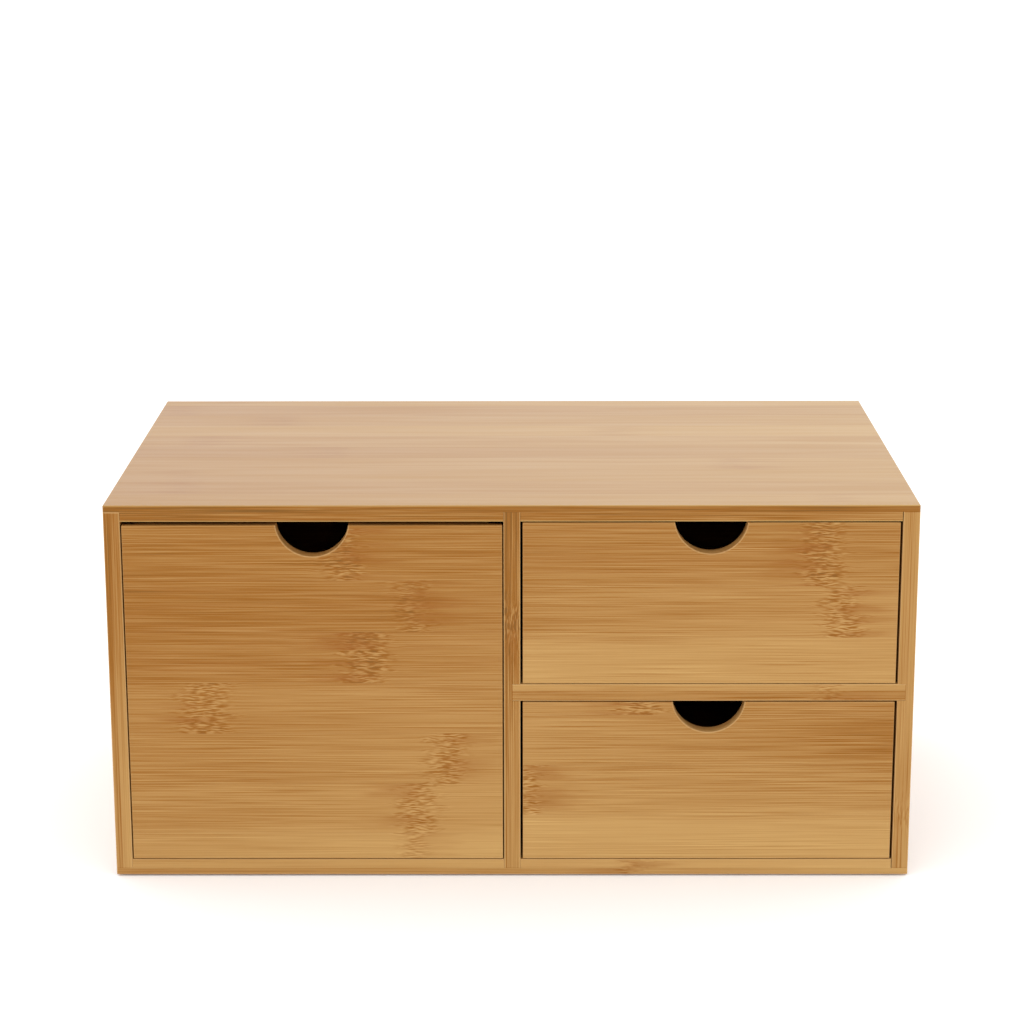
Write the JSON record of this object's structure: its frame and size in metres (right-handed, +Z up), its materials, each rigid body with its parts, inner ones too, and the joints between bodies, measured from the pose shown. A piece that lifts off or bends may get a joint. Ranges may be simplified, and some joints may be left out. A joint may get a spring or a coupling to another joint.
{
  "type": "desktop mini drawers",
  "caption": "Free-standing bamboo desktop case with one tall drawer beside two stacked smaller drawers, each with a half-round finger notch.",
  "frame": {"origin": "middle of the footprint, on the ground under the anti-slip pads", "axes": "+X along the width to the right as seen from the front, +Y towards the back, +Z up; the drawers open towards -Y"},
  "size_m": [0.35, 0.218, 0.1692],
  "materials": {
    "bamboo_board": "satin lacquered laminated bamboo",
    "bamboo_front": "satin lacquered laminated bamboo with node marks",
    "bamboo_box": "sanded laminated bamboo",
    "bamboo_ply": "sanded thin bamboo plywood",
    "pad_rubber": "matt moulded rubber",
    "brad_steel": "plain drawn steel wire"
  },
  "bodies": {
    "case": {"top_board": "bamboo_board", "bottom_board": "bamboo_board", "left_side_board": "bamboo_board", "right_side_board": "bamboo_board", "centre_divider": "bamboo_board", "shelf_board": "bamboo_board", "back_panel": "bamboo_ply", "pad_front_left": "pad_rubber", "pad_front_right": "pad_rubber", "pad_rear_left": "pad_rubber", "pad_rear_right": "pad_rubber"},
    "tall_drawer": {"tall_drawer_front": "bamboo_front", "tall_drawer_left_side": "bamboo_box", "tall_drawer_right_side": "bamboo_box", "tall_drawer_back": "bamboo_box", "tall_drawer_bottom": "bamboo_ply", "tall_drawer_pins": "brad_steel"},
    "upper_drawer": {"upper_drawer_front": "bamboo_front", "upper_drawer_left_side": "bamboo_box", "upper_drawer_right_side": "bamboo_box", "upper_drawer_back": "bamboo_box", "upper_drawer_bottom": "bamboo_ply", "upper_drawer_pins": "brad_steel"},
    "lower_drawer": {"lower_drawer_front": "bamboo_front", "lower_drawer_left_side": "bamboo_box", "lower_drawer_right_side": "bamboo_box", "lower_drawer_back": "bamboo_box", "lower_drawer_bottom": "bamboo_ply", "lower_drawer_pins": "brad_steel"}
  },
  "joints": [
    {"name": "tall_drawer_slide", "type": "slide", "parent": "case", "child": "tall_drawer", "axis": [0, -1, 0], "range_m": [0, 0.18]},
    {"name": "upper_drawer_slide", "type": "slide", "parent": "case", "child": "upper_drawer", "axis": [0, -1, 0], "range_m": [0, 0.18]},
    {"name": "lower_drawer_slide", "type": "slide", "parent": "case", "child": "lower_drawer", "axis": [0, -1, 0], "range_m": [0, 0.18]}
  ]
}
